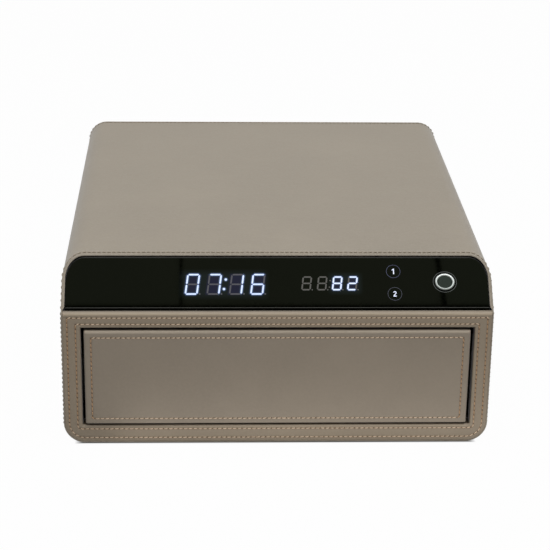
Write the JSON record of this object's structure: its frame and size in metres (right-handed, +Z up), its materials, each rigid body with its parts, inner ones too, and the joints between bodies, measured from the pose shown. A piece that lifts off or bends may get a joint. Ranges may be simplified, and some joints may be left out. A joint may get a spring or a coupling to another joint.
{
  "type": "bedside drawer safe",
  "caption": "Leather-covered steel drawer safe with a bevelled glass touch panel, fingerprint reader, clock, stitched front, ball-bearing slides and a motor-driven bolt.",
  "frame": {"origin": "under the middle of the case, at the level the feet stand on", "axes": "+X to the right as seen from the front, +Y from the front to the back, +Z up"},
  "size_m": [0.35, 0.42, 0.154],
  "materials": {
    "leather": "taupe grained leatherette, stitched",
    "case_steel": "black powder coat",
    "back_panel_steel": "black powder coat",
    "frame_board": "medium-density fibreboard",
    "panel_glass": "back-painted black glass",
    "tray_plastic": "moulded black",
    "display_plastic": "black display block",
    "circuit_board": "green solder mask",
    "ring_chrome": "polished",
    "sensor_plastic": "dark coated sensor",
    "bright_steel": "zinc plated",
    "drawer_steel": "black powder coat",
    "felt": "black felt",
    "foot_rubber": "black rubber",
    "lock_zinc": "die-cast zinc alloy",
    "gear_brass": "machined",
    "motor_steel": "plated can",
    "cell_jacket": "plain dark jacket",
    "lead_rubber": "black cable sheath",
    "ribbon_plastic": "grey ribbon cable",
    "ejector_plastic": "moulded black acetal"
  },
  "bodies": {
    "case": {"back_panel": "back_panel_steel", "battery_cells": "cell_jacket", "battery_holder": "tray_plastic", "bay_floor": "case_steel", "board_spacers": "gear_brass", "bolt_switch": "tray_plastic", "buzzer": "tray_plastic", "case_screws": "bright_steel", "clock_display": "display_plastic", "control_board": "circuit_board", "display_ribbon": "ribbon_plastic", "ejector_barrel_left": "ejector_plastic", "ejector_barrel_right": "ejector_plastic", "ejector_spring_left": "bright_steel", "ejector_spring_right": "bright_steel", "fingerprint_nut": "bright_steel", "fingerprint_ring": "ring_chrome", "fingerprint_sensor": "sensor_plastic", "front_frame_core": "frame_board", "glass_panel": "panel_glass", "key_cylinder": "lock_zinc", "key_cylinder_nut": "bright_steel", "leather_front_frame": "leather", "leather_sleeve": "leather", "lock_housing": "lock_zinc", "lock_motor": "motor_steel", "outer_rail_left": "bright_steel", "outer_rail_right": "bright_steel", "outer_shell": "case_steel", "panel_tray": "tray_plastic", "power_inlet": "tray_plastic", "power_lead": "lead_rubber", "rail_screws": "bright_steel", "rubber_feet": "foot_rubber", "slide_spacer_left": "case_steel", "slide_spacer_right": "case_steel", "thermometer_display": "display_plastic", "touch_board": "circuit_board"},
    "drawer": {"drawer_front_core": "frame_board", "leather_drawer_face": "leather", "drawer_tray": "drawer_steel", "tray_liner": "felt", "strike_bracket": "bright_steel", "drawer_screws": "bright_steel", "inner_rail_left": "bright_steel", "inner_rail_right": "bright_steel"},
    "middle_rail_left": {"middle_rail_left": "bright_steel"},
    "middle_rail_right": {"middle_rail_right": "bright_steel"},
    "outer_cage_left": {"outer_ball_cage_left": "bright_steel"},
    "outer_cage_right": {"outer_ball_cage_right": "bright_steel"},
    "inner_cage_left": {"inner_ball_cage_left": "bright_steel"},
    "inner_cage_right": {"inner_ball_cage_right": "bright_steel"},
    "plunger_left": {"ejector_plunger_left": "ejector_plastic"},
    "plunger_right": {"ejector_plunger_right": "ejector_plastic"},
    "bolt": {"lock_bolt": "bright_steel"},
    "pinion": {"lock_pinion": "gear_brass"},
    "key": {"key_plug": "gear_brass", "key_cam": "bright_steel"}
  },
  "joints": [
    {"name": "drawer_slide", "type": "slide", "parent": "case", "child": "drawer", "axis": [0, -1, 0], "range_m": [0, 0.3]},
    {"name": "middle_rail_left_slide", "type": "slide", "parent": "case", "child": "middle_rail_left", "axis": [0, -1, 0], "range_m": [0, 0.15]},
    {"name": "outer_cage_left_slide", "type": "slide", "parent": "case", "child": "outer_cage_left", "axis": [0, -1, 0], "range_m": [0, 0.075]},
    {"name": "inner_cage_left_slide", "type": "slide", "parent": "case", "child": "inner_cage_left", "axis": [0, -1, 0], "range_m": [0, 0.225]},
    {"name": "ejector_left_slide", "type": "slide", "parent": "case", "child": "plunger_left", "axis": [0, -1, 0], "range_m": [0, 0.015], "deforming": ["ejector_spring_left"]},
    {"name": "middle_rail_right_slide", "type": "slide", "parent": "case", "child": "middle_rail_right", "axis": [0, -1, 0], "range_m": [0, 0.15]},
    {"name": "outer_cage_right_slide", "type": "slide", "parent": "case", "child": "outer_cage_right", "axis": [0, -1, 0], "range_m": [0, 0.075]},
    {"name": "inner_cage_right_slide", "type": "slide", "parent": "case", "child": "inner_cage_right", "axis": [0, -1, 0], "range_m": [0, 0.225]},
    {"name": "ejector_right_slide", "type": "slide", "parent": "case", "child": "plunger_right", "axis": [0, -1, 0], "range_m": [0, 0.015], "deforming": ["ejector_spring_right"]},
    {"name": "bolt_slide", "type": "slide", "parent": "case", "child": "bolt", "axis": [0, 0, -1], "range_m": [0, 0.01]},
    {"name": "pinion_turn", "type": "hinge", "parent": "case", "child": "pinion", "pos_m": [0.06, 0.15875, 0.124], "axis": [-1, 0, 0], "range_deg": [0, 96]},
    {"name": "key_turn", "type": "hinge", "parent": "case", "child": "key", "pos_m": [0.074, 0.19, 0.13], "axis": [0, 1, 0], "range_deg": [0, 90]}
  ],
  "couplings": [
    {"joint": "middle_rail_left_slide", "follows": "drawer_slide", "ratio": 0.5},
    {"joint": "outer_cage_left_slide", "follows": "drawer_slide", "ratio": 0.25},
    {"joint": "inner_cage_left_slide", "follows": "drawer_slide", "ratio": 0.75},
    {"joint": "ejector_left_slide", "follows": "drawer_slide", "ratio": 0.05},
    {"joint": "middle_rail_right_slide", "follows": "drawer_slide", "ratio": 0.5},
    {"joint": "outer_cage_right_slide", "follows": "drawer_slide", "ratio": 0.25},
    {"joint": "inner_cage_right_slide", "follows": "drawer_slide", "ratio": 0.75},
    {"joint": "ejector_right_slide", "follows": "drawer_slide", "ratio": 0.05},
    {"joint": "pinion_turn", "follows": "bolt_slide", "rad_per_m": 166.67}
  ]
}
